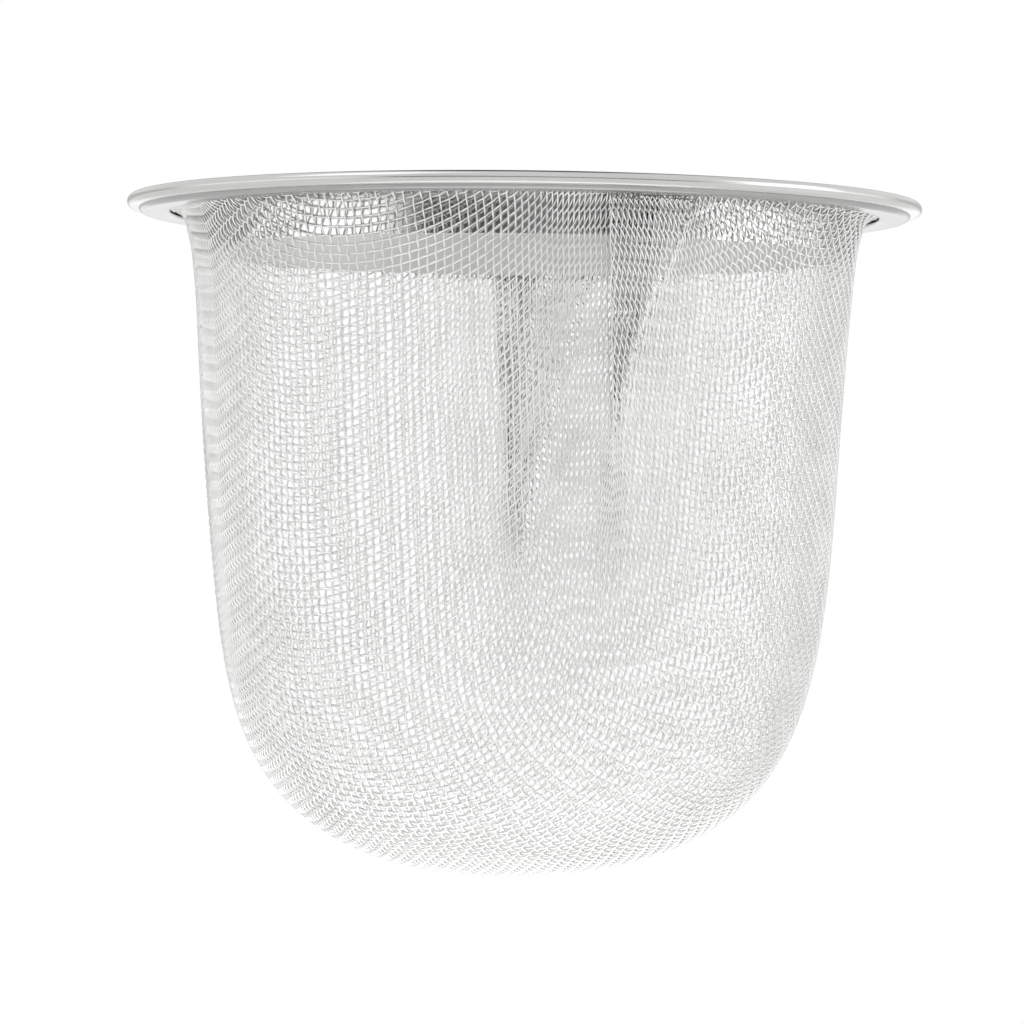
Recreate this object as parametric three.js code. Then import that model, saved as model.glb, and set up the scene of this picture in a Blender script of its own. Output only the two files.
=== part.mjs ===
// Deep tea strainer: a pouch of woven stainless wire hung from a crimped stainless rim.
// Millimetres, +Z up. The origin is the centre of the plane that the rim's underside rests on.
// Angles go round the Z axis in degrees, from the front (-Y) towards +X.
import * as THREE from 'three';

// Driving dimensions.
const SEGMENTS = 60;
const SHEET = 0.3;
const FIT_GAP = 0.3;
const CLAMPED_GAP = 0.15;

// Rim: a flat top ring whose edge is rolled under, gripping the rim of a lower clamp ring.
const RIM_RADIUS = 40;
const RIM_TOP = 1.8;
const BEAD_RADIUS = 0.65;
const BEAD_HOOK_RADIUS = 39;
const SEAT_OUTER_RADIUS = 38.1;
const SEAT_INNER_RADIUS = 36.5;
const CLAMP_INNER_RADIUS = 35.7;
const CLAMP_INNER_EDGE = 0.2;
const CLAMP_WAIST = 0.6;

// Collar: a short polished neck inside the cloth, with a flange trapped under the top ring.
const COLLAR_INNER_RADIUS = 32.5;
const COLLAR_FLANGE_RADIUS = 37.8;
const COLLAR_BOTTOM = -3.75;
const COLLAR_CORNER = 0.7;

// Pouch: the cloth's outer surface. Its wall tapers by TAPER mm for each mm of depth, and its
// floor is a superellipse.
const CLOTH = 0.45;
const POUCH_DEPTH = 66.2;
const WALL_RADIUS = 33.66;
const TAPER = 0.0686;
const DEPTH_POWER = 7.35;
const RADIUS_POWER = 2.19;
const NECK_DEPTH = 1.6;
const NECK_SPREAD = 0.45;
const NECK_FADE = 1.5;
const FLARE_RADIUS = 36;
const CLOTH_EDGE_RADIUS = 37.4;
const CLOTH_EDGE_UNDERSIDE = 0.45;

// Pleats: the spare cloth, folded flat against the wall where the weave lies on the bias.
// fold is the straight upright edge, slant the sloping edge at the rim, apex the lower point.
const PLEAT_TOP = -0.4;
const PLEAT_LAYERS = 0.6;
const PLEAT_TIP_WIDTH = 0.8;
const PLEAT_ROWS = 10;
const PLEAT_COLUMNS = 6;
const PLEATS = [
  { name: 'pleat_front', fold: 13.6, slant: 28, apex: 16.2, length: 24.7, narrowing: 1.5 },
  { name: 'pleat_back', fold: 186, slant: 167.6, apex: 180.9, length: 36.7, narrowing: 1 },
];

const STEEL = { polished: 0xd9d9d6, satin: 0xc9c9c6, cloth: 0xbdbdba };

// Points on an elliptical arc, from angle a to angle b in degrees.
function arc(centreR, centreZ, radiusR, radiusZ, a, b, steps) {
  const points = [];
  for (let i = 0; i <= steps; i += 1) {
    const t = THREE.MathUtils.degToRad(a + ((b - a) * i) / steps);
    points.push([centreR + radiusR * Math.cos(t), centreZ + radiusZ * Math.sin(t)]);
  }
  return points;
}

// A body turned about Z from its section, a list of [radius, z] that runs anticlockwise.
function turned(section) {
  const points = section.map(([r, z]) => new THREE.Vector2(r, z));
  const geometry = new THREE.LatheGeometry(points, SEGMENTS);
  geometry.rotateX(Math.PI / 2);
  return geometry;
}

function ring(section) {
  return turned([...section, section[0]]);
}

// Radius of the pouch's outer surface at a depth below the seat plane.
function pouchRadius(depth) {
  const floor = Math.max(0, 1 - (depth / POUCH_DEPTH) ** DEPTH_POWER);
  const neck = NECK_SPREAD * Math.exp((NECK_DEPTH - depth) / NECK_FADE);
  return (WALL_RADIUS - TAPER * depth + neck) * floor ** (1 / RADIUS_POWER);
}

// Depth of the floor where it has narrowed to a fraction of the wall's radius.
function floorDepth(fraction) {
  return POUCH_DEPTH * (1 - fraction ** RADIUS_POWER) ** (1 / DEPTH_POWER);
}

// The pouch's outer profile as [radius, z], from the pole up to the cloth's edge in the rim.
function pouchProfile() {
  const points = [[0, -POUCH_DEPTH]];
  const floorSteps = 10;
  const floorEdge = 0.88;
  for (let i = 1; i <= floorSteps; i += 1) {
    const depth = floorDepth((floorEdge * i) / floorSteps);
    points.push([pouchRadius(depth), -depth]);
  }
  for (const depth of [53, 49.5, 45, 38, 28, 15, 5, 2.6]) {
    points.push([pouchRadius(depth), -depth]);
  }
  const neckRadius = pouchRadius(NECK_DEPTH);
  const reach = FLARE_RADIUS - neckRadius;
  const rise = CLOTH_EDGE_UNDERSIDE + NECK_DEPTH;
  points.push(...arc(FLARE_RADIUS, -NECK_DEPTH, reach, rise, 180, 90, 5));
  points.push([CLOTH_EDGE_RADIUS, CLOTH_EDGE_UNDERSIDE]);
  return points;
}

// The same profile moved inwards by a distance, along each point's own normal.
function offsetProfile(points, distance) {
  return points.map(([r, z], i) => {
    const [r0, z0] = points[Math.max(0, i - 1)];
    const [r1, z1] = points[Math.min(points.length - 1, i + 1)];
    const length = Math.hypot(r1 - r0, z1 - z0);
    const inwardR = -(z1 - z0) / length;
    const inwardZ = (r1 - r0) / length;
    return i === 0 ? [0, z + distance] : [r + inwardR * distance, z + inwardZ * distance];
  });
}

function rimTopRing() {
  const centre = RIM_RADIUS - BEAD_RADIUS;
  const middle = RIM_TOP - BEAD_RADIUS;
  const inner = BEAD_RADIUS - SHEET;
  return ring([
    [COLLAR_INNER_RADIUS, RIM_TOP - SHEET],
    ...arc(centre, middle, inner, inner, 90, -90, 6),
    [BEAD_HOOK_RADIUS, middle - inner],
    [BEAD_HOOK_RADIUS, middle - BEAD_RADIUS],
    ...arc(centre, middle, BEAD_RADIUS, BEAD_RADIUS, -90, 90, 8),
    [COLLAR_INNER_RADIUS, RIM_TOP],
  ]);
}

function clampRing() {
  const waistRadius = BEAD_HOOK_RADIUS - CLAMPED_GAP;
  const lip = RIM_TOP - 2 * BEAD_RADIUS + SHEET + CLAMPED_GAP;
  const lipRadius = RIM_RADIUS - BEAD_RADIUS;
  const bulge = waistRadius - SEAT_OUTER_RADIUS;
  const innerReach = SEAT_INNER_RADIUS - CLAMP_INNER_RADIUS;
  return ring([
    ...arc(SEAT_INNER_RADIUS, CLAMP_INNER_EDGE, innerReach, CLAMP_INNER_EDGE, 180, 270, 3),
    ...arc(SEAT_OUTER_RADIUS, CLAMP_WAIST, bulge, CLAMP_WAIST, -90, 0, 6),
    [waistRadius, lip],
    [lipRadius, lip],
    [lipRadius, lip + SHEET],
    [waistRadius - SHEET, lip + SHEET],
    ...arc(SEAT_OUTER_RADIUS, CLAMP_WAIST, bulge - SHEET, CLAMP_WAIST - SHEET, 0, -90, 6),
    [CLAMP_INNER_RADIUS, SHEET],
  ]);
}

function collarBand() {
  const outer = COLLAR_INNER_RADIUS + SHEET;
  const flangeTop = RIM_TOP - SHEET - CLAMPED_GAP;
  const corner = flangeTop - SHEET - COLLAR_CORNER;
  const bend = COLLAR_CORNER + SHEET;
  return ring([
    [COLLAR_INNER_RADIUS, COLLAR_BOTTOM],
    [outer, COLLAR_BOTTOM],
    ...arc(outer + COLLAR_CORNER, corner, COLLAR_CORNER, COLLAR_CORNER, 180, 90, 4),
    [COLLAR_FLANGE_RADIUS, flangeTop - SHEET],
    [COLLAR_FLANGE_RADIUS, flangeTop],
    ...arc(outer + COLLAR_CORNER, corner, bend, bend, 90, 180, 4),
  ]);
}

function meshPouch() {
  const outside = pouchProfile();
  const inside = offsetProfile(outside, CLOTH);
  return turned([...outside, ...inside.reverse()]);
}

// A closed slab over a patch of surface: place(u, v, side) gives the point at u across and
// v down, on the near face (side 0) or the far face (side 1).
function slab(place, columns, rows) {
  const vertices = [];
  const faces = [];
  for (const side of [0, 1]) {
    for (let j = 0; j <= rows; j += 1) {
      for (let i = 0; i <= columns; i += 1) {
        vertices.push(...place(i / columns, j / rows, side));
      }
    }
  }
  const index = (i, j, side) => side * (rows + 1) * (columns + 1) + j * (columns + 1) + i;
  const quad = (a, b, c, d) => faces.push(a, b, c, a, c, d);
  for (let j = 0; j < rows; j += 1) {
    for (let i = 0; i < columns; i += 1) {
      quad(index(i, j, 0), index(i + 1, j, 0), index(i + 1, j + 1, 0), index(i, j + 1, 0));
      quad(index(i, j, 1), index(i, j + 1, 1), index(i + 1, j + 1, 1), index(i + 1, j, 1));
    }
    quad(index(0, j, 0), index(0, j + 1, 0), index(0, j + 1, 1), index(0, j, 1));
    quad(index(columns, j, 0), index(columns, j, 1), index(columns, j + 1, 1), index(columns, j + 1, 0));
  }
  for (let i = 0; i < columns; i += 1) {
    quad(index(i, 0, 0), index(i, 0, 1), index(i + 1, 0, 1), index(i + 1, 0, 0));
    quad(index(i, rows, 0), index(i + 1, rows, 0), index(i + 1, rows, 1), index(i, rows, 1));
  }
  const geometry = new THREE.BufferGeometry();
  geometry.setAttribute('position', new THREE.Float32BufferAttribute(vertices, 3));
  geometry.setIndex(faces);
  geometry.computeVertexNormals();
  return geometry;
}

// Two layers of cloth, one folded flap, lying against the outside of the pouch.
function pleat({ fold, slant, apex, length, narrowing }) {
  const tip = THREE.MathUtils.radToDeg(PLEAT_TIP_WIDTH / WALL_RADIUS) * Math.sign(slant - fold);
  const place = (u, v, side) => {
    const depth = -PLEAT_TOP + v * length;
    const left = fold + (apex - tip / 2 - fold) * v;
    const width = (slant - fold - tip) * (1 - v) ** narrowing + tip;
    const angle = THREE.MathUtils.degToRad(left + u * width);
    const neck = depth < NECK_DEPTH ? NECK_DEPTH : depth;
    const radius = pouchRadius(neck) + (NECK_DEPTH - Math.min(depth, NECK_DEPTH)) * TAPER;
    const lift = radius + FIT_GAP + side * PLEAT_LAYERS;
    return [lift * Math.sin(angle), -lift * Math.cos(angle), -depth];
  };
  const mirrored = (u, v, side) => place(1 - u, v, side);
  return slab(slant > fold ? place : mirrored, PLEAT_COLUMNS, PLEAT_ROWS);
}

function add(group, name, geometry, color, roughness) {
  const material = new THREE.MeshStandardMaterial({ color, roughness, metalness: 1 });
  const mesh = new THREE.Mesh(geometry, material);
  mesh.name = name;
  group.add(mesh);
}

const strainer = new THREE.Group();
add(strainer, 'rim_top_ring', rimTopRing(), STEEL.polished, 0.16);
add(strainer, 'clamp_ring', clampRing(), STEEL.satin, 0.24);
add(strainer, 'collar_band', collarBand(), STEEL.polished, 0.12);
add(strainer, 'mesh_pouch', meshPouch(), STEEL.cloth, 0.35);
for (const fold of PLEATS) {
  add(strainer, fold.name, pleat(fold), STEEL.cloth, 0.35);
}

export default strainer;
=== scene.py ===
"""A deep tea strainer: woven stainless wire in a crimped, polished rim.

The wire cloth is worked out as a real one behaves. It starts as a flat square weave centred on the
pouch's pole, and every crossing keeps its distance from the two before it, so the wires run
straight up the wall on four sides and shear into narrow diamonds between them. Where they can
shear no further, the spare cloth is folded into a pleat at the front and the back, and at the
sides the two halves just meet. Lengths are in millimetres until a mesh is made, and angles go
round +Z in radians, from the front (-Y) towards +X, unless a comment says otherwise.
"""
import math
import bpy
import numpy as np
from mathutils import Matrix, Vector


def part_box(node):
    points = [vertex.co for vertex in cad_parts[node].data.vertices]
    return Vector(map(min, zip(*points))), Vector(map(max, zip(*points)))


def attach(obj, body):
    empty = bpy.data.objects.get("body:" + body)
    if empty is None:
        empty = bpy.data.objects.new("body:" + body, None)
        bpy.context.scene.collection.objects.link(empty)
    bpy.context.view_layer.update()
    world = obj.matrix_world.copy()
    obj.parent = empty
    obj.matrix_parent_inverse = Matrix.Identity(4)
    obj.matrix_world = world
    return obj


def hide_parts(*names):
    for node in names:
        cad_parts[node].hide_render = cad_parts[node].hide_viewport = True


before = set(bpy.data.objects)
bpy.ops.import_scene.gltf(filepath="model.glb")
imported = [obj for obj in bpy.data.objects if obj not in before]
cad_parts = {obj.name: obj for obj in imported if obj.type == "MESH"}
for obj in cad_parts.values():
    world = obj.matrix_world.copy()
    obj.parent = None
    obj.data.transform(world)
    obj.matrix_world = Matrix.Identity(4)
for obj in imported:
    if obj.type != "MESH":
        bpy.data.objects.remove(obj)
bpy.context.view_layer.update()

MM = 0.001


def box_mm(node):
    """The low and high corners of a CAD node's box."""
    low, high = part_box(node)
    return np.array(low) / MM, np.array(high) / MM


RIM_HIGH = box_mm("rim_top_ring")[1]
CLAMP_HIGH = box_mm("clamp_ring")[1]
COLLAR_LOW, COLLAR_HIGH = box_mm("collar_band")
POUCH_LOW, POUCH_HIGH = box_mm("mesh_pouch")

# ---------------------------------------------------------------- the pouch's surface

# The cloth's thickness, its wires, how far they swing off its middle, and their spacing.
CLOTH = 0.45
WIRE_RADIUS = 0.1
CRIMP = 0.1
PITCH = 0.885
# The pouch's outside: a tapered wall, a floor rounded by two powers, and a neck that widens into
# a flare under the rim.
POUCH_DEPTH = -POUCH_LOW[2]
EDGE_RADIUS = POUCH_HIGH[0]
EDGE_UNDERSIDE = POUCH_HIGH[2] - CLOTH
WALL_RADIUS = 33.66
TAPER = 0.0686
DEPTH_POWER = 7.35
RADIUS_POWER = 2.19
NECK_DEPTH = 1.6
NECK_SPREAD = 0.45
NECK_FADE = 1.5
FLARE_RADIUS = 36.0
# The surface is laid out as lines of this many points. FLOOR_SHARE is the share of the radius
# that the floor's line covers, and EDGE_SPARE carries the surface on past the cloth's edge.
FLOOR_POINTS = 1500
WALL_POINTS = 2000
FLARE_POINTS = 200
FLOOR_SHARE = 0.88
EDGE_SPARE = 3


def pouch_radius(depth):
    """The outside's radius at a depth below the rim's seat."""
    floor = np.clip(1 - (depth / POUCH_DEPTH) ** DEPTH_POWER, 0, None)
    neck = NECK_SPREAD * np.exp((NECK_DEPTH - depth) / NECK_FADE)
    return (WALL_RADIUS - TAPER * depth + neck) * floor ** (1 / RADIUS_POWER)


class Surface:
    """The cloth's middle surface, by arc length from the pole."""

    def __init__(self):
        share = np.linspace(0, FLOOR_SHARE, FLOOR_POINTS)
        floor = POUCH_DEPTH * (1 - share**RADIUS_POWER) ** (1 / DEPTH_POWER)
        depth = np.concatenate([floor, np.linspace(floor[-1], NECK_DEPTH, WALL_POINTS)[1:]])
        outer = np.column_stack([pouch_radius(depth), -depth])
        outer[0, 0] = 0
        reach = FLARE_RADIUS - pouch_radius(NECK_DEPTH)
        rise = EDGE_UNDERSIDE + NECK_DEPTH
        turn = np.radians(np.linspace(180, 90, FLARE_POINTS))[1:]
        flare = np.column_stack(
            [FLARE_RADIUS + reach * np.cos(turn), rise * np.sin(turn) - NECK_DEPTH]
        )
        edge = np.array([[EDGE_RADIUS, EDGE_UNDERSIDE], [EDGE_RADIUS + EDGE_SPARE, EDGE_UNDERSIDE]])
        outer = np.vstack([outer, flare, edge])
        along = np.gradient(outer, axis=0)
        along /= np.linalg.norm(along, axis=1)[:, None]
        self.normal = np.column_stack([along[:, 1], -along[:, 0]])
        self.line = outer - CLOTH / 2 * self.normal
        self.line[0, 0] = 0
        steps = np.linalg.norm(np.diff(self.line, axis=0), axis=1)
        self.arc = np.concatenate([[0], np.cumsum(steps)])
        self.length = self.arc[-2]

    def radius(self, s):
        """Radius at an arc length from the pole."""
        return np.interp(s, self.arc, self.line[:, 0])

    def height(self, s):
        """Height at an arc length from the pole."""
        return np.interp(s, self.arc, self.line[:, 1])

    def point(self, s, angle):
        """A point with its angle counted from +X, as the net is worked out."""
        r = self.radius(s)
        return np.array([r * math.cos(angle), r * math.sin(angle), self.height(s)])

    def place(self, s, angle, lift):
        """Points and outward normals, at a lift in mm off the surface."""
        nr = np.interp(s, self.arc, self.normal[:, 0])
        nz = np.interp(s, self.arc, self.normal[:, 1])
        size = np.hypot(nr, nz)
        nr, nz = nr / size, nz / size
        r = self.radius(s) + lift * nr
        z = self.height(s) + lift * nz
        points = np.stack([r * np.sin(angle), -r * np.cos(angle), z], -1)
        normals = np.stack([nr * np.sin(angle), -nr * np.cos(angle), nz], -1)
        return points, normals


SURFACE = Surface()

# ---------------------------------------------------------------- the net of wires

# A crossing (i, j) is i wires from one straight wire up the wall and j from the next, 90 degrees
# round. Only i >= j is worked out, and the other half is its mirror image.
ROWS = int(SURFACE.length / PITCH)
QUARTER = math.pi / 2
# The cloth can shear up to column SHEAR_LOCK. From column SHEAR_SOFT on its wires come to touch,
# over SOFT_ROWS rows, and each is then LOCKED_RUN further round the wall and LOCKED_RISE up it.
SHEAR_LOCK = 36
SHEAR_SOFT = 27
SOFT_ROWS = 18
LOCKED_RUN = 0.47
LOCKED_RISE = 0.93
# How a crossing is solved for: rounds, the small step for slopes, the largest move in a round,
# and the miss that is close enough, in square millimetres.
ROUNDS = 30
SLOPE_STEP = 1e-5
LARGEST_MOVE = 0.3
CLOSE_ENOUGH = 1e-9


def next_crossing(a, b, c):
    """The crossing one pitch from both a and b, on the far side from c, each (arc, angle)."""
    pa, pb, pc = (SURFACE.point(*q) for q in (a, b, c))
    guess = pa + pb - pc
    s = a[0] + b[0] - c[0]
    angle = math.atan2(guess[1], guess[0])
    for _ in range(ROUNDS):
        x = SURFACE.point(s, angle)
        miss = np.array([np.dot(x - pa, x - pa), np.dot(x - pb, x - pb)]) - PITCH**2
        if abs(miss).max() < CLOSE_ENOUGH:
            break
        r = SURFACE.radius(s)
        xs = (SURFACE.point(s + SLOPE_STEP, angle) - x) / SLOPE_STEP
        xa = (SURFACE.point(s, angle + SLOPE_STEP / r) - x) / SLOPE_STEP
        slope = 2 * np.array([[np.dot(x - q, xs), np.dot(x - q, xa)] for q in (pa, pb)])
        move = np.linalg.solve(slope, -miss)
        move *= min(1, LARGEST_MOVE / np.linalg.norm(move))
        s += move[0]
        angle += move[1] / r
    return s, angle


def smooth(x):
    """An even step from 0 to 1 as x goes from 0 to 1."""
    x = np.clip(x, 0, 1)
    return x * x * (3 - 2 * x)


def draped_net():
    """Arc and angle of each crossing, as two arrays over i and j, for j up to SHEAR_LOCK."""
    arc = np.full((ROWS + 1, SHEAR_LOCK + 1), np.nan)
    angle = arc.copy()
    arc[:, 0] = np.arange(ROWS + 1) * PITCH
    angle[:, 0] = 0
    for j in range(1, SHEAR_LOCK + 1):
        for i in range(j, ROWS + 1):
            b = (arc[i, j - 1], angle[i, j - 1])
            c = (arc[i - 1, j - 1], angle[i - 1, j - 1])
            a = (b[0], QUARTER - b[1]) if i == j else (arc[i - 1, j], angle[i - 1, j])
            if np.isnan(b[0]) or max(a[0], b[0]) > SURFACE.length - PITCH / 10:
                break
            arc[i, j], angle[i, j] = next_crossing(a, b, c)
    # High on the wall the shear stops at the angle where the wires touch.
    i, j = np.meshgrid(np.arange(ROWS + 1), np.arange(SHEAR_LOCK + 1), indexing="ij")
    over = np.clip(j - SHEAR_SOFT, 0, None)
    share = smooth((i - j) / SOFT_ROWS) * (over > 0)
    run = LOCKED_RUN / SURFACE.radius(np.nan_to_num(arc[:, [SHEAR_SOFT]]) + 1)
    locked_arc = arc[:, [SHEAR_SOFT]] + over * LOCKED_RISE
    locked_angle = angle[:, [SHEAR_SOFT]] + over * run
    arc = np.where(share > 0, arc * (1 - share) + locked_arc * share, arc)
    angle = np.where(share > 0, angle * (1 - share) + locked_angle * share, angle)
    return arc, angle


def extended(arc, angle, extra):
    """The net carried on past its last column, in steps equal to the last one."""
    e = np.arange(1, extra + 1)
    rise = (arc[:, -1] - arc[:, -2])[:, None]
    run = (angle[:, -1] - angle[:, -2])[:, None]
    return (
        np.hstack([arc, arc[:, [-1]] + rise * e]),
        np.hstack([angle, angle[:, [-1]] + run * e]),
    )


# ---------------------------------------------------------------- pleats

# Each quarter of the net has its straight wires at its sides and its pleat in the middle. Angles
# are in degrees: fold is the flap's upright edge at the rim and slant its sloping edge. length is
# how far down the flap reaches, and narrowing the power by which it comes to a point. Where fold
# and slant are the same there is no flap, and the two halves of the quarter just meet.
PLEATS = [
    {"name": "pleat_front", "fold": 13.6, "slant": 28, "length": 24.7, "narrowing": 1.5},
    {"name": "seam_right", "fold": 98.7, "slant": 98.7, "length": 1, "narrowing": 1},
    {"name": "pleat_back", "fold": 186, "slant": 167.6, "length": 36.7, "narrowing": 1},
    {"name": "seam_left", "fold": 278.7, "slant": 278.7, "length": 1, "narrowing": 1},
]
# The depth a pleat's length is counted from, and the height at which its flap ends in the rim.
PLEAT_TOP = 0.4
FLAP_TOP = 0.35
# One layer's thickness, the roundness of a fold, and the width over which the cloth past a flap's
# edge comes down to the wall. A flap narrower than NARROW_FLAP lies closer to the wall.
LAYER = 0.46
FOLD_ROUND = 0.2
STEP_DOWN = 1.6
NARROW_FLAP = 1.5
# How far the layers under a flap may reach past its edge.
OVERLAP = 0.1
# The rim squeezes the flap's layers to SQUEEZED of their thickness over its last SQUEEZE mm.
SQUEEZE = 1.8
SQUEEZED = 0.4
# How many columns past the last sheared one are laid out to fill the pleats.
EXTRA_COLUMNS = 44
# The first straight wire's angle, and how far the upper wall's weave leans round.
NET_TURN = math.radians(-38)
LEAN_MEAN = math.radians(1.7)
LEAN_SWING = math.radians(7.4)
LEAN_ARC = 50


def leaned(s, angle):
    """The angle round the pouch of a point of the net."""
    lean = LEAN_MEAN + LEAN_SWING * np.cos(angle - QUARTER / 2)
    return NET_TURN + angle + smooth(s / LEAN_ARC) * lean


class Pleat:
    """A flap that lies over the wall from its upright fold to its sloping edge."""

    def __init__(self, quarter, lock_arc):
        spec = PLEATS[quarter]
        self.name = spec["name"]
        self.side = 1 if spec["slant"] > spec["fold"] else -1
        self.fold = math.radians(spec["fold"])
        self.width = math.radians(spec["slant"] - spec["fold"])
        self.length = spec["length"]
        self.narrowing = spec["narrowing"]
        self.bias = QUARTER * (quarter + 0.5)
        self.lock_arc = lock_arc

    def flap(self, s, angle):
        """Distance past the fold and the flap's width there, in mm, and the fold's angle."""
        v = np.clip((-SURFACE.height(s) - PLEAT_TOP) / self.length, 0, 1)
        seam = leaned(s, self.bias)
        fold = self.fold + (seam - self.fold) * v
        r = SURFACE.radius(s)
        width = abs(self.width) * (1 - v) ** self.narrowing * r
        return self.side * (angle - fold) * r, width, fold

    def lay(self, s, angle, over):
        """Lays points of the net by this pleat. over says which belong to the cloth on top, which
        folds back under itself, and the rest stop below it. Returns each point's angle, its lift
        off the wall, which way its outer side faces, and whether it is kept and is on the flap."""
        x, width, fold = self.flap(s, angle)
        high = s > self.lock_arc
        open_flap = smooth(width / NARROW_FLAP)
        reach = np.sqrt(x * x + FOLD_ROUND**2)
        turn = x / reach
        folded = np.where(width > FOLD_ROUND, reach - FOLD_ROUND, x)
        on_flap = over & high & (x < width) & (width > FOLD_ROUND)
        squeeze = 1 - (1 - SQUEEZED) * smooth((SURFACE.height(s) - FLAP_TOP + SQUEEZE) / SQUEEZE)
        # The folded-under layer is one layer off the wall and the flap's top is two.
        lift = LAYER * squeeze * open_flap * np.where(
            x < width, 1.5 + 0.5 * turn, 2 * (1 - smooth((x - width) / STEP_DOWN))
        )
        lift = np.where(over & high, lift, 0)
        kept = np.where(over, x > -width - OVERLAP, x < width + OVERLAP) | ~high
        kept &= ~(on_flap & (SURFACE.height(s) > FLAP_TOP))
        angle = np.where(on_flap, fold + self.side * folded / SURFACE.radius(s), angle)
        flip = np.where(on_flap, turn, 1)
        return angle, lift, flip, kept, on_flap


# ---------------------------------------------------------------- the wires

# Half the length, in pitches, over which a wire lies level on or under the one it crosses.
CROWN = 0.22
TUBE_SIDES = 5
# A family of wires is filed as five pieces, split at these numbers of pitches from the pole.
GROUPS = (-60, -20, 20, 60)
# The floor hangs a little to one side.
LOPSIDED = 1.5
LOPSIDED_POWER = 16
# Hand-pressed cloth is uneven by these swings, and is pressed in by up to twice PRESSED_IN. That
# fades out over POLE_FADE at the pole and over EDGE_FADE towards the rim, and the last EDGE_EVEN
# stays even. Inside POLE_RADIUS a sideways shift turns a wire as if it were at that radius.
LONG_WAVE = 0.05
SHORT_WAVE = 0.04
PRESSED_IN = 0.07
POLE_FADE = 20
EDGE_FADE = 8
EDGE_EVEN = 6
POLE_RADIUS = 3


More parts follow.
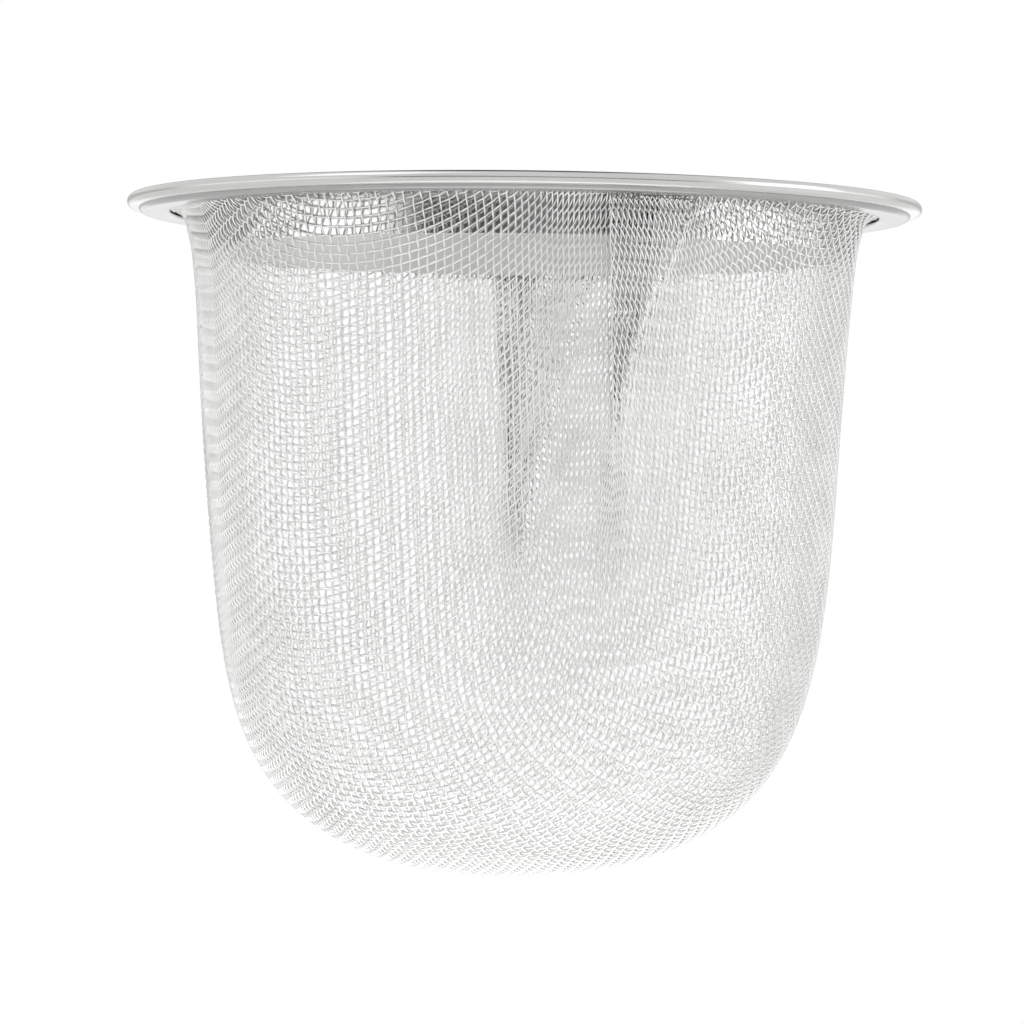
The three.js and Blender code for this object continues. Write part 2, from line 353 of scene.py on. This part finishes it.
class Wires:
    """Every wire of the cloth as a line of points with normals, sorted into pieces."""

    def __init__(self):
        arc, angle = draped_net()
        self.lock_arc = arc[SHEAR_LOCK, SHEAR_LOCK]
        self.pleats = [Pleat(q, self.lock_arc) for q in range(4)]
        self.arc, self.angle = arc, angle
        self.far_arc, self.far_angle = extended(arc, angle, EXTRA_COLUMNS)
        self.pieces = {}
        for axis in range(4):
            for k in range(1, ROWS + 1):
                self.cross_axis(axis, k)
        for family in range(2):
            self.along_axis(family)
        for quarter in range(4):
            for e in range(1, EXTRA_COLUMNS + 1):
                self.spare_column(quarter, e)

    def half_wire(self, k):
        """Local arc, angle and past-the-bias flag of a wire that crosses an axis k pitches out."""
        if k > SHEAR_LOCK:
            s, a = self.far_arc[k], self.far_angle[k]
            return s, a, np.zeros(len(s), bool)
        s = np.concatenate([self.arc[k, : k + 1], self.arc[k + 1 :, k]])
        a = np.concatenate([self.angle[k, : k + 1], QUARTER - self.angle[k + 1 :, k]])
        return s, a, np.arange(len(s)) > k

    def cross_axis(self, axis, k):
        """A wire that crosses one of the four straight half-wires up the wall, k from the pole."""
        s, a, past = self.half_wire(k)
        good = np.isfinite(s) & (s < SURFACE.length)
        count = len(s) if good.all() else int(np.argmin(good))
        if count < 2:
            return
        s, a, past = s[:count], a[:count], past[:count]
        warp = axis % 2 == 1
        index = k if axis < 2 else -k
        ahead = self.laid(s, axis * QUARTER + a, past, axis)
        behind = self.laid(s, axis * QUARTER - a, ~past, (axis - 1) % 4)
        whole = [np.concatenate([b[:0:-1], f]) for b, f in zip(behind, ahead)]
        crossing = np.concatenate([np.arange(count - 1, 0, -1), np.arange(count)]) + k
        self.keep(whole, crossing, warp, index)

    def along_axis(self, family):
        """The straight wire over the pole, up the wall on both sides."""
        s = np.arange(ROWS + 1) * PITCH
        s = s[s < SURFACE.length]
        start = family * QUARTER
        none = np.zeros(len(s), bool)
        ahead = self.laid(s, start + 0 * s, none, family)
        behind = self.laid(s, start + 2 * QUARTER + 0 * s, none, family + 2)
        whole = [np.concatenate([b[:0:-1], f]) for b, f in zip(behind, ahead)]
        crossing = np.concatenate([np.arange(len(s) - 1, 0, -1), np.arange(len(s))])
        self.keep(whole, crossing, family == 0, 0)

    def spare_column(self, quarter, e):
        """The upright wires between the last sheared one and the pleat, on both sides of it."""
        rows = np.arange(SHEAR_LOCK + 1, ROWS + 1)
        column = SHEAR_LOCK + e
        s = self.far_arc[rows, column]
        a = self.far_angle[rows, column]
        good = np.isfinite(s) & (s < SURFACE.length) & (s > self.lock_arc)
        if good.sum() < 2:
            return
        s, a, rows = s[good], a[good], rows[good]
        for past in (False, True):
            round_angle = quarter * QUARTER + (QUARTER - a if past else a)
            points = self.laid(s, round_angle, np.full(len(s), past), quarter)
            warp = (quarter % 2 == 1) == past
            index = column if quarter < 2 else -column
            self.keep(points, rows + column, warp, index)

    def laid(self, s, a, past, quarter):
        """Net points as arrays: arc, net angle, past-the-bias flag and quarter."""
        return s, a, past, np.full(len(s), quarter)

    def keep(self, net, crossing, warp, index):
        """Adds a wire: two points at each crossing, over or under by the weave's parity."""
        s, a, past, quarter = net
        count = len(s)
        if count < 2:
            return
        t = (np.arange(count)[:, None] + np.array([-CROWN, CROWN])).ravel()
        t = t.clip(0, count - 1)
        nearest = np.repeat(np.arange(count), 2)
        s_fine = np.interp(t, np.arange(count), s)
        a_fine = np.interp(t, np.arange(count), a)
        sign = np.where(crossing % 2 == 0, 1.0, -1.0)[nearest] * (1 if warp else -1)
        angle = leaned(s_fine, a_fine)
        lift = np.zeros(len(t))
        flip = np.ones(len(t))
        kept = np.ones(len(t), bool)
        flap = np.full(len(t), -1)
        for q, pleat in enumerate(self.pleats):
            mine = quarter[nearest] == q
            if not mine.any():
                continue
            turns = 2 * math.pi * round((pleat.fold - angle[mine].mean()) / (2 * math.pi))
            over = past[nearest][mine] == (pleat.side > 0)
            laid = pleat.lay(s_fine[mine], angle[mine] + turns, over)
            angle[mine], lift[mine], flip[mine], kept[mine] = laid[:4]
            flap[mine] = np.where(laid[4], q, -1)
        uneven = wobble(s_fine, angle)
        angle = angle + uneven[0] / SURFACE.radius(s_fine).clip(POLE_RADIUS)
        points, normals = SURFACE.place(
            s_fine + uneven[1], angle, lift + uneven[2] + CRIMP * sign * flip
        )
        points[:, 0] -= LOPSIDED * (-points[:, 2] / POUCH_DEPTH).clip(0) ** LOPSIDED_POWER
        self.sort_runs(points, normals, kept, flap, warp, index)

    def sort_runs(self, points, normals, kept, flap, warp, index):
        """Cuts a wire where it ends or passes on to a flap, and files each run under its piece."""
        group = int(np.searchsorted(GROUPS, index)) + 1
        wall = f"{'warp' if warp else 'weft'}_wires_{group}"
        start = 0
        for n in range(1, len(points) + 1):
            if n < len(points) and kept[n] == kept[start] and flap[n] == flap[start]:
                continue
            joins = n < len(points) and kept[n] and kept[start]
            end = n + 1 if joins else n
            if kept[start] and end - start > 2:
                name = wall if flap[start] < 0 else self.pleats[flap[start]].name + "_cloth"
                self.pieces.setdefault(name, []).append((points[start:end], normals[start:end]))
            start = n


def wobble(s, angle):
    """Small unevenness of hand-pressed cloth: sideways, along the wall and outward, in mm."""
    sideways = LONG_WAVE * np.sin(0.31 * s + 7 * angle)
    sideways = sideways + SHORT_WAVE * np.sin(0.83 * s - 11 * angle + 1)
    upward = LONG_WAVE * np.sin(0.27 * s - 9 * angle + 2)
    upward = upward + SHORT_WAVE * np.sin(0.71 * s + 13 * angle)
    outward = -PRESSED_IN * (1 + np.sin(0.17 * s + 5 * angle + 1.3)) * smooth(s / POLE_FADE)
    return sideways, upward, outward * smooth((SURFACE.length - EDGE_EVEN - s) / EDGE_FADE)


def tube_arrays(lines):
    """Vertices, quads and end caps of tubes along lines, each (points, normals)."""
    turn = 2 * np.pi * np.arange(TUBE_SIDES) / TUBE_SIDES
    cos, sin = np.cos(turn)[None, :, None], np.sin(turn)[None, :, None]
    verts, quads, caps = [], [], []
    base = 0
    for points, normals in lines:
        along = np.gradient(points, axis=0)
        along /= np.linalg.norm(along, axis=1)[:, None].clip(1e-9)
        across = np.cross(along, normals)
        across /= np.linalg.norm(across, axis=1)[:, None].clip(1e-9)
        out = np.cross(across, along)
        round_wire = cos * out[:, None, :] + sin * across[:, None, :]
        ring = points[:, None, :] + WIRE_RADIUS * round_wire
        verts.append(ring.reshape(-1, 3))
        number = base + np.arange(len(points) * TUBE_SIDES).reshape(-1, TUBE_SIDES)
        beside = np.roll(number, -1, axis=1)
        quad = np.stack([number[:-1], beside[:-1], beside[1:], number[1:]], -1)
        quads.append(quad.reshape(-1, 4))
        caps += [number[0, ::-1], number[-1]]
        base += len(points) * TUBE_SIDES
    return np.concatenate(verts), np.concatenate(quads), np.array(caps)


# ---------------------------------------------------------------- meshes


def add_mesh(name, verts, *faces):
    """A smooth-shaded mesh object from vertices in mm and arrays of faces."""
    mesh = bpy.data.meshes.new(name)
    mesh.vertices.add(len(verts))
    mesh.vertices.foreach_set("co", (np.asarray(verts, np.float64) * MM).ravel())
    sizes = np.concatenate([np.full(len(f), f.shape[1]) for f in faces])
    corners = np.concatenate([f.ravel() for f in faces])
    mesh.loops.add(len(corners))
    mesh.loops.foreach_set("vertex_index", corners)
    mesh.polygons.add(len(sizes))
    mesh.polygons.foreach_set("loop_start", np.concatenate([[0], np.cumsum(sizes)[:-1]]))
    mesh.polygons.foreach_set("loop_total", sizes)
    mesh.polygons.foreach_set("use_smooth", np.ones(len(sizes), bool))
    mesh.update(calc_edges=True)
    mesh.validate()
    obj = bpy.data.objects.new(name, mesh)
    bpy.context.scene.collection.objects.link(obj)
    return obj


def turned(name, section, segments=360, sharp=40):
    """A ring turned about Z from a closed section of (radius, z) that runs anticlockwise."""
    section = np.array(section)
    angle = 2 * np.pi * np.arange(segments) / segments
    r, z = section[None, :, 0], section[None, :, 1]
    verts = np.stack(
        [r * np.cos(angle)[:, None], r * np.sin(angle)[:, None], z + 0 * angle[:, None]], -1
    ).reshape(-1, 3)
    n = len(section)
    number = np.arange(segments * n).reshape(segments, n)
    nxt = np.roll(number, -1, axis=0)
    above = np.roll(number, -1, axis=1)
    both = np.roll(nxt, -1, axis=1)
    faces = np.stack([number, nxt, both, above], -1).reshape(-1, 4)
    obj = add_mesh(name, verts, faces)
    obj.data.set_sharp_from_angle(angle=math.radians(sharp))
    return obj


def arc_points(centre, radii, start, end, steps):
    """Points on an ellipse's arc. start and end are in degrees."""
    t = np.radians(np.linspace(start, end, steps + 1))
    return [(centre[0] + radii[0] * math.cos(q), centre[1] + radii[1] * math.sin(q)) for q in t]


# ---------------------------------------------------------------- the sheet metal rings

SHEET = 0.3
BEAD_RADIUS = 0.65
RIM_RADIUS = RIM_HIGH[0]
RIM_TOP = RIM_HIGH[2]
# How far in the rolled edge reaches.
HOOK_RADIUS = 38.75
MOUTH_RADIUS = 32.5
SEAT_OUTER = 38.1
SEAT_INNER = 36.5
CLAMP_INNER = 35.7
CLAMP_INNER_EDGE = 0.2
CLAMP_WAIST = 0.6
CLAMP_LIP = 0.5
COLLAR_CORNER = 0.7


def rim_top_ring():
    """The flat top ring, its edge rolled under into a round bead."""
    centre = (RIM_RADIUS - BEAD_RADIUS, RIM_TOP - BEAD_RADIUS)
    inner = BEAD_RADIUS - SHEET
    return turned("rim_top", [
        (MOUTH_RADIUS, RIM_TOP - SHEET),
        *arc_points(centre, (inner, inner), 90, -90, 12),
        (HOOK_RADIUS, centre[1] - inner),
        (HOOK_RADIUS, centre[1] - BEAD_RADIUS),
        *arc_points(centre, (BEAD_RADIUS, BEAD_RADIUS), -90, 90, 20),
        (MOUTH_RADIUS, RIM_TOP),
    ])


def clamp_ring():
    """The lower ring: a flat seat, a rounded waist and a lip held inside the bead."""
    waist = CLAMP_HIGH[0] - CLAMP_LIP
    lip = CLAMP_HIGH[2] - SHEET
    bulge = waist - SEAT_OUTER
    centre = (SEAT_OUTER, CLAMP_WAIST)
    edge = (SEAT_INNER - CLAMP_INNER, CLAMP_INNER_EDGE)
    return turned("clamp", [
        *arc_points((SEAT_INNER, CLAMP_INNER_EDGE), edge, 180, 270, 8),
        *arc_points(centre, (bulge, CLAMP_WAIST), -90, 0, 16),
        (waist, lip),
        (CLAMP_HIGH[0], lip),
        (CLAMP_HIGH[0], lip + SHEET),
        (waist - SHEET, lip + SHEET),
        *arc_points(centre, (bulge - SHEET, CLAMP_WAIST - SHEET), 0, -90, 16),
        (CLAMP_INNER, SHEET),
    ])


def collar_skin(name, inside, outside):
    """One skin of the neck inside the cloth, with its flange trapped under the top ring. inside
    and outside say how far through the sheet's thickness the skin starts and ends."""
    outer = MOUTH_RADIUS + SHEET
    top = COLLAR_HIGH[2]
    centre = (outer + COLLAR_CORNER, top - SHEET - COLLAR_CORNER)
    near = COLLAR_CORNER + SHEET - inside
    far = COLLAR_CORNER + SHEET - outside
    return turned(name, [
        (MOUTH_RADIUS + inside, COLLAR_LOW[2]),
        (MOUTH_RADIUS + outside, COLLAR_LOW[2]),
        *arc_points(centre, (far, far), 180, 90, 12),
        (COLLAR_HIGH[0], top - outside),
        (COLLAR_HIGH[0], top - inside),
        *arc_points(centre, (near, near), 90, 180, 12),
    ])


def collar_outside():
    """The collar's outer skin, seen through the near side of the cloth."""
    return collar_skin("collar", SHEET / 2, SHEET)


def collar_inside():
    """The collar's inner skin, seen from above and through the far side of the cloth."""
    return collar_skin("collar_lining", 0, SHEET / 2)


# ---------------------------------------------------------------- materials


def add_node(tree, kind, **inputs):
    """A new node with its inputs set or linked, each by name or, as _0, by number."""
    node = tree.nodes.new(kind)
    for key, value in inputs.items():
        socket = node.inputs[int(key[1:])] if key[0] == "_" else node.inputs[key.replace("_", " ")]
        if isinstance(value, bpy.types.NodeSocket):
            tree.links.new(value, socket)
        else:
            socket.default_value = value
    return node


class Nodes:
    """A new material with its node tree."""

    def __init__(self, name):
        self.material = bpy.data.materials.new(name)
        self.material.use_nodes = True
        self.tree = self.material.node_tree
        self.shader = self.tree.nodes["Principled BSDF"]

    def add(self, kind, **inputs):
        return add_node(self.tree, kind, **inputs)

    def ramp(self, fac, low, high):
        """Blends two colours, each given with where on fac it is reached."""
        node = self.add("ShaderNodeValToRGB", Fac=fac)
        for element, (place, color) in zip(node.color_ramp.elements, (low, high)):
            element.position = place
            element.color = (*color, 1)
        return node.outputs["Color"]

    def link(self, output, name):
        self.tree.links.new(output, self.shader.inputs[name])

    def shade(self, **inputs):
        for key, value in inputs.items():
            self.shader.inputs[key.replace("_", " ")].default_value = value


# Patches of noise per metre: the marks of turning, flat rings one above the other, and clouds.
TURNING_MARKS = (60, 60, 6000)
LARGE_CLOUDS = 40.0
SMALL_CLOUDS = 60.0
WIRE_CLOUDS = 180.0
# Brings the product of turned metal's two noises to the middle of its range of tones.
NOISE_LIFT = 0.25


def turned_metal(name, dark, light, roughness, clouds):
    """Sheet metal with faint rings left by turning, and a little cloudiness."""
    m = Nodes(name)
    where = m.add("ShaderNodeTexCoord").outputs["Object"]
    rings = m.add("ShaderNodeMapping", Vector=where, Scale=TURNING_MARKS)
    fine = m.add("ShaderNodeTexNoise", Vector=rings.outputs["Vector"], Scale=1.0, Detail=3.0)
    cloud = m.add("ShaderNodeTexNoise", Vector=where, Scale=clouds, Detail=4.0, Roughness=0.6)
    values = {"_0": fine.outputs["Fac"], "_1": cloud.outputs["Fac"], "_2": NOISE_LIFT}
    both = m.add("ShaderNodeMath", **values)
    both.operation = "MULTIPLY_ADD"
    m.link(m.ramp(both.outputs["Value"], (0.3, dark), (0.7, light)), "Base Color")
    m.shade(Metallic=1.0, Roughness=roughness)
    return m.material


def polished_steel():
    """The collar's outer skin."""
    dark, light = (0.74, 0.74, 0.73), (0.88, 0.88, 0.87)
    return turned_metal("polished_steel", dark, light, 0.14, LARGE_CLOUDS)


def rolled_steel():
    """The rim."""
    dark, light = (0.58, 0.58, 0.57), (0.7, 0.7, 0.69)
    return turned_metal("rolled_steel", dark, light, 0.2, LARGE_CLOUDS)


def satin_steel():
    """The clamp ring: satin steel, its tones darkened as painted shade under the bead."""
    # dark and light sit well below the rim's steel: painted shade for the band under the bead.
    dark, light = (0.36, 0.36, 0.36), (0.46, 0.46, 0.45)
    return turned_metal("satin_steel", dark, light, 0.2, SMALL_CLOUDS)


def dull_steel():
    """The collar's inner skin, which wasn't polished."""
    dark, light = (0.62, 0.62, 0.61), (0.72, 0.72, 0.71)
    return turned_metal("dull_steel", dark, light, 0.55, SMALL_CLOUDS)


def wire_steel():
    """Drawn wire, slightly uneven in tone from wire to wire."""
    m = Nodes("wire_steel")
    where = m.add("ShaderNodeTexCoord").outputs["Object"]
    cloud = m.add("ShaderNodeTexNoise", Vector=where, Scale=WIRE_CLOUDS, Detail=3.0, Roughness=0.6)
    tone = m.ramp(cloud.outputs["Fac"], (0.35, (0.88, 0.88, 0.87)), (0.65, (0.98, 0.98, 0.97)))
    m.link(tone, "Base Color")
    m.shade(Metallic=1.0, Roughness=0.28)
    return m.material


# ---------------------------------------------------------------- the strainer


def dress(obj, material):
    """Gives a piece its material, and ties it to the one body."""
    obj.data.materials.append(material)
    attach(obj, "root")


def build_rings():
    """The rim's two rings and the collar's two skins."""
    for make, node, slot, material in (
        (rim_top_ring, "rim_top_ring", "polished_steel", rolled_steel),
        # The clamp ring's satin_steel is darkened as painted shade under the bead.
        (clamp_ring, "clamp_ring", "satin_steel", satin_steel),
        (collar_outside, "collar_band", "polished_steel", polished_steel),
        (collar_inside, "collar_band", "polished_steel", dull_steel),
    ):
        obj = make()
        dress(obj, material())
        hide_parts(node)


def build_cloth():
    """The wall's wires, five pieces each way, and a piece for each pleat's flap."""
    steel = wire_steel()
    for name, lines in Wires().pieces.items():
        obj = add_mesh(name, *tube_arrays(lines))
        dress(obj, steel)
        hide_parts(name[: -len("_cloth")] if name.startswith("pleat") else "mesh_pouch")


build_rings()
build_cloth()

# ---------------------------------------------------------------- light and floor

scene = bpy.context.scene
scene.view_settings.view_transform = "Standard"

# A pale floor with a small white sheet on it, under the strainer.
FLOOR_DEPTH = 110
FLOOR_RADIUS = 400
WHITE_SHEET_RADIUS = 62
DISC_SIDES = 96
WHITE = (1, 1, 1, 1)


def disc(name, radius, z, glow, seen_glow):
    """A flat white disc. glow is its own light on the metal, seen_glow on the camera."""
    turn = 2 * np.pi * np.arange(DISC_SIDES) / DISC_SIDES
    verts = np.stack([radius * np.cos(turn), radius * np.sin(turn), 0 * turn + z], -1)
    obj = add_mesh(name, verts, np.arange(DISC_SIDES)[None, :])
    m = Nodes(name)
    m.shade(Base_Color=(0.9, 0.9, 0.9, 1), Roughness=0.9, Emission_Color=WHITE)
    camera_ray = m.add("ShaderNodeLightPath").outputs["Is Camera Ray"]
    strength = m.add("ShaderNodeMapRange", Value=camera_ray, To_Min=glow, To_Max=seen_glow)
    m.link(strength.outputs["Result"], "Emission Strength")
    obj.data.materials.append(m.material)


def area_light(name, place, aim, size, power):
    """A square soft light, in mm and watts."""
    light = bpy.data.lights.new(name, "AREA")
    light.size = size * MM
    light.energy = power
    obj = bpy.data.objects.new(name, light)
    obj.location = Vector(place) * MM
    obj.rotation_euler = (Vector(aim) - Vector(place)).to_track_quat("-Z", "Y").to_euler()
    scene.collection.objects.link(obj)


# The studio's brightness as the metal sees it: an even room, with three things in it. EYE_LEVEL
# goes round the horizon, in degrees from the camera's side (-Y) towards +X, and shows within
# EYE_BAND. The other heights and widths are a direction's z and x, and BEHIND its y, from -1 to 1.
ROOM = 0.475
EYE_LEVEL = (
    (-180, 0.32), (-125, 0.32), (-105, 0.68), (-52, 0.68), (-36, 0.03),
    (-8, 0.03), (0, 0.1), (48, 0.12), (62, 0.68), (118, 0.68), (138, 0.32),
)
EYE_BAND = ((-0.08, 0), (-0.02, 1), (0.12, 1), (0.19, 0))
BEHIND = ((-0.2, 0), (0.2, 1))
# A white sweep behind, up to the horizon, and a dark screen above it.
SWEEP = 0.68
SWEEP_HEIGHT = ((-0.35, 0), (-0.2, 1), (0.0, 1), (0.06, 0))
SWEEP_WIDTH = ((-0.35, 0), (-0.2, 1), (0.2, 1), (0.35, 0))
SCREEN = 0.03
SCREEN_HEIGHT = ((0.08, 0), (0.13, 1), (0.95, 1), (0.99, 0))
SCREEN_WIDTH = ((-0.2, 0), (-0.1, 1), (0.1, 1), (0.2, 0))
STUDIO_POWER = 1.9


class World:
    """A new world's node tree, with what the studio is put together from."""

    def __init__(self):
        self.world = bpy.data.worlds.new("studio")
        self.world.use_nodes = True
        self.tree = self.world.node_tree
        axes = self.add("ShaderNodeTexCoord").outputs["Generated"]
        axes = self.add("ShaderNodeSeparateXYZ", Vector=axes)
        self.x, self.y, self.z = (axes.outputs[n] for n in "XYZ")

    def add(self, kind, **inputs):
        return add_node(self.tree, kind, **inputs)

    def maths(self, operation, *values):
        """The result of a mathematical operation on sockets or numbers."""
        node = self.add("ShaderNodeMath", **{f"_{n}": v for n, v in enumerate(values)})
        node.operation = operation
        return node.outputs["Value"]

    def ramp(self, value, low, high, stops):
        """A grey from a value between low and high, by stops of (value, grey)."""
        fac = self.add("ShaderNodeMapRange", Value=value, From_Min=low, From_Max=high)
        node = self.add("ShaderNodeValToRGB", Fac=fac.outputs["Result"])
        elements = node.color_ramp.elements
        while len(elements) < len(stops):
            elements.new(0.5)
        for element, (place, grey) in zip(elements, stops):
            element.position = (place - low) / (high - low)
            element.color = (grey, grey, grey, 1)
        return node.outputs["Color"]

    def grey(self, value):
        node = self.tree.nodes.new("ShaderNodeRGB")
        node.outputs[0].default_value = (value, value, value, 1)
        return node.outputs[0]

    def mix(self, factor, first, second):
        """Blends two colours. The sockets of a colour mix are 0, 6 and 7, and its result is 2."""
        node = self.tree.nodes.new("ShaderNodeMix")
        node.data_type = "RGBA"
        for source, socket in ((factor, 0), (first, 6), (second, 7)):
            self.tree.links.new(source, node.inputs[socket])
        return node.outputs[2]

    def patch(self, room, height, width, value):
        """Adds an upright patch behind the strainer to the room."""
        tall = self.ramp(self.z, -1, 1, height)
        wide = self.ramp(self.x, -1, 1, width)
        where = self.maths("MULTIPLY", tall, wide)
        where = self.maths("MULTIPLY", where, self.ramp(self.y, -1, 1, BEHIND))
        return self.mix(where, room, self.grey(value))

    def light(self, room):
        """Lights the scene by the room. The camera itself sees plain white."""
        seen = self.add("ShaderNodeBackground", Color=WHITE, Strength=1.0)
        shown = self.add("ShaderNodeBackground", Color=room, Strength=STUDIO_POWER)
        both = self.tree.nodes.new("ShaderNodeMixShader")
        camera_ray = self.add("ShaderNodeLightPath").outputs["Is Camera Ray"]
        self.tree.links.new(camera_ray, both.inputs[0])
        self.tree.links.new(shown.outputs[0], both.inputs[1])
        self.tree.links.new(seen.outputs[0], both.inputs[2])
        self.tree.links.new(both.outputs[0], self.tree.nodes["World Output"].inputs["Surface"])
        scene.world = self.world


def studio_world():
    """A pale grey room. At eye level it is bright, but for a dark patch on the camera's side that
    the polished collar shows."""
    w = World()
    azimuth = w.maths("DEGREES", w.maths("ARCTAN2", w.x, w.maths("MULTIPLY", w.y, -1.0)))
    room = w.patch(w.grey(ROOM), SWEEP_HEIGHT, SWEEP_WIDTH, SWEEP)
    room = w.patch(room, SCREEN_HEIGHT, SCREEN_WIDTH, SCREEN)
    room = w.mix(w.ramp(w.z, -1, 1, EYE_BAND), room, w.ramp(azimuth, -180, 180, EYE_LEVEL))
    w.light(room)


disc("pale_floor", FLOOR_RADIUS, -FLOOR_DEPTH, glow=0.1, seen_glow=0.6)
disc("white_sheet", WHITE_SHEET_RADIUS, 1 - FLOOR_DEPTH, glow=0.75, seen_glow=0.75)
studio_world()
area_light("key", place=(-260, -120, 420), aim=(0, 0, -20), size=300, power=0.22)
area_light("fill", place=(380, -60, 120), aim=(0, 0, -30), size=260, power=0.18)

# ---------------------------------------------------------------- camera

CAMERA_DISTANCE = 700
CAMERA_HEIGHT = -49.69
CAMERA_SIDE = -0.905
CAMERA_PITCH = math.radians(1.643)
CAMERA_ROLL = math.radians(0.671)
LENS = 244.6
SENSOR = 36
# In metres.
NEAREST_SEEN = 0.05
FARTHEST_SEEN = 20

camera = bpy.data.cameras.new("camera")
camera.lens = LENS
camera.sensor_width = SENSOR
camera.clip_start = NEAREST_SEEN
camera.clip_end = FARTHEST_SEEN
view = bpy.data.objects.new("camera", camera)
view.location = Vector((CAMERA_SIDE, -CAMERA_DISTANCE, CAMERA_HEIGHT)) * MM
tilted = Matrix.Rotation(math.pi / 2 + CAMERA_PITCH, 4, "X")
view.rotation_euler = (tilted @ Matrix.Rotation(CAMERA_ROLL, 4, "Z")).to_euler()
scene.collection.objects.link(view)
scene.camera = view
